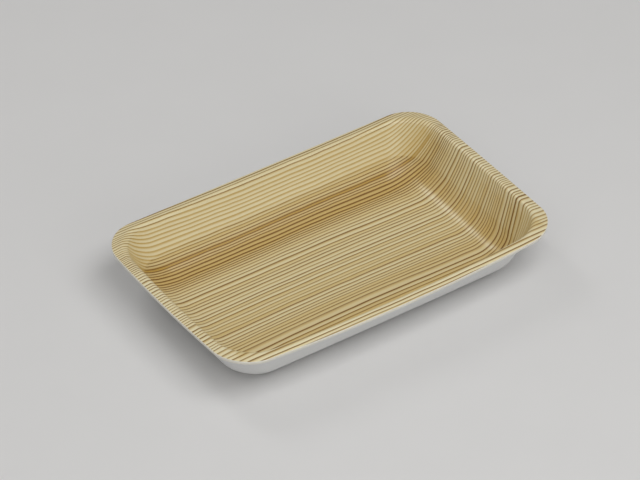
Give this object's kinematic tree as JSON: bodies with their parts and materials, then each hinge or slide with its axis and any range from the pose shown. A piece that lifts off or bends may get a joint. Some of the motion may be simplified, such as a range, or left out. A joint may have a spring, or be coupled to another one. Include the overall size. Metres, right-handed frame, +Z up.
{
  "type": "foam meat tray",
  "caption": "Rectangular thermoformed foam tray with coved walls, rounded corners and a narrow flange, lined with a straight wood grain film.",
  "frame": {"origin": "middle of the flat underside, on the surface that the tray stands on", "axes": "+Z up out of the tray, +X along its length, +Y across its width"},
  "size_m": [0.23, 0.15, 0.0346],
  "materials": {
    "printed_foam": "foamed polystyrene sheet with a satin printed wood grain film on the upper side and bare white foam below"
  },
  "bodies": {
    "root": {"tray": "printed_foam"}
  },
  "joints": []
}
